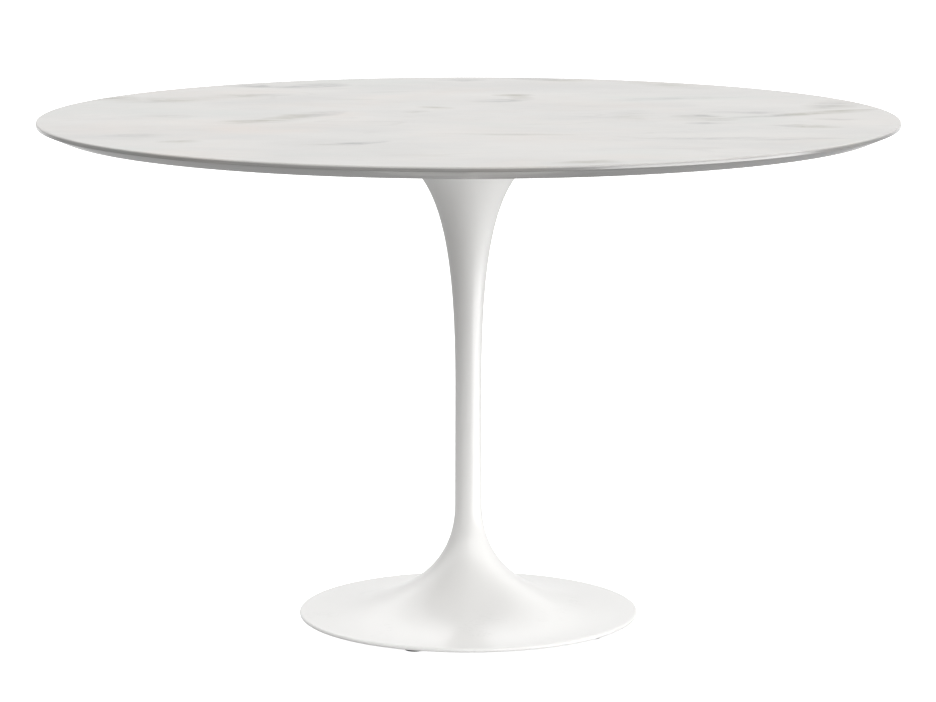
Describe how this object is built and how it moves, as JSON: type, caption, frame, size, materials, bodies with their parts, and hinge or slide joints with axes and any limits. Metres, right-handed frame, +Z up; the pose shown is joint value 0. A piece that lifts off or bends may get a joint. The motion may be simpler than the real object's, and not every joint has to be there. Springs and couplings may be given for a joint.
{
  "type": "round pedestal table",
  "caption": "Round table: a marble slab with an undercut edge on a white trumpet-shaped cast pedestal with levelling glides.",
  "frame": {"origin": "on the floor, under the centre of the table", "axes": "+Z up, along the column; -Y towards the front"},
  "size_m": [1.2198, 1.22, 0.724],
  "materials": {
    "marble": "polished, soft grey veins",
    "white_lacquer": "gloss lacquer on cast iron",
    "black_steel": "satin black",
    "zinc_steel": "zinc plated",
    "brass": "turned",
    "rubber": "matt",
    "nylon": "moulded, slightly rough"
  },
  "bodies": {
    "table": {"marble_top": "marble", "top_inserts": "brass", "cushion_pads": "rubber", "spider": "black_steel", "spider_bolts": "zinc_steel", "spider_washers": "zinc_steel", "neck_nut": "zinc_steel", "threaded_neck": "zinc_steel", "locating_pins": "zinc_steel", "pedestal": "white_lacquer", "tie_rod": "zinc_steel", "plate_washer": "zinc_steel", "lock_washer": "zinc_steel", "tie_rod_nut": "zinc_steel"},
    "glide_pad_1": {"glide_pad_1": "nylon"},
    "glide_stud_1": {"glide_stud_1": "zinc_steel"},
    "glide_pad_2": {"glide_pad_2": "nylon"},
    "glide_stud_2": {"glide_stud_2": "zinc_steel"},
    "glide_pad_3": {"glide_pad_3": "nylon"},
    "glide_stud_3": {"glide_stud_3": "zinc_steel"},
    "glide_pad_4": {"glide_pad_4": "nylon"},
    "glide_stud_4": {"glide_stud_4": "zinc_steel"},
    "glide_pad_5": {"glide_pad_5": "nylon"},
    "glide_stud_5": {"glide_stud_5": "zinc_steel"}
  },
  "joints": [
    {"name": "glide_1_extend", "type": "slide", "parent": "table", "child": "glide_pad_1", "axis": [0, 0, -1], "range_m": [0, 0.0025]},
    {"name": "glide_1_screw", "type": "hinge", "parent": "glide_pad_1", "child": "glide_stud_1", "pos_m": [-0.07524, -0.20673, 0.004], "axis": [0, 0, -1], "range_deg": [0, 900]},
    {"name": "glide_2_extend", "type": "slide", "parent": "table", "child": "glide_pad_2", "axis": [0, 0, -1], "range_m": [0, 0.0025]},
    {"name": "glide_2_screw", "type": "hinge", "parent": "glide_pad_2", "child": "glide_stud_2", "pos_m": [0.17336, -0.13545, 0.004], "axis": [0, 0, -1], "range_deg": [0, 900]},
    {"name": "glide_3_extend", "type": "slide", "parent": "table", "child": "glide_pad_3", "axis": [0, 0, -1], "range_m": [0, 0.0025]},
    {"name": "glide_3_screw", "type": "hinge", "parent": "glide_pad_3", "child": "glide_stud_3", "pos_m": [0.18239, 0.12302, 0.004], "axis": [0, 0, -1], "range_deg": [0, 900]},
    {"name": "glide_4_extend", "type": "slide", "parent": "table", "child": "glide_pad_4", "axis": [0, 0, -1], "range_m": [0, 0.0025]},
    {"name": "glide_4_screw", "type": "hinge", "parent": "glide_pad_4", "child": "glide_stud_4", "pos_m": [-0.06064, 0.21148, 0.004], "axis": [0, 0, -1], "range_deg": [0, 900]},
    {"name": "glide_5_extend", "type": "slide", "parent": "table", "child": "glide_pad_5", "axis": [0, 0, -1], "range_m": [0, 0.0025]},
    {"name": "glide_5_screw", "type": "hinge", "parent": "glide_pad_5", "child": "glide_stud_5", "pos_m": [-0.21987, 0.00768, 0.004], "axis": [0, 0, -1], "range_deg": [0, 900]}
  ],
  "couplings": [
    {"joint": "glide_1_screw", "follows": "glide_1_extend", "rad_per_m": 6283.2},
    {"joint": "glide_2_screw", "follows": "glide_2_extend", "rad_per_m": 6283.2},
    {"joint": "glide_3_screw", "follows": "glide_3_extend", "rad_per_m": 6283.2},
    {"joint": "glide_4_screw", "follows": "glide_4_extend", "rad_per_m": 6283.2},
    {"joint": "glide_5_screw", "follows": "glide_5_extend", "rad_per_m": 6283.2}
  ]
}
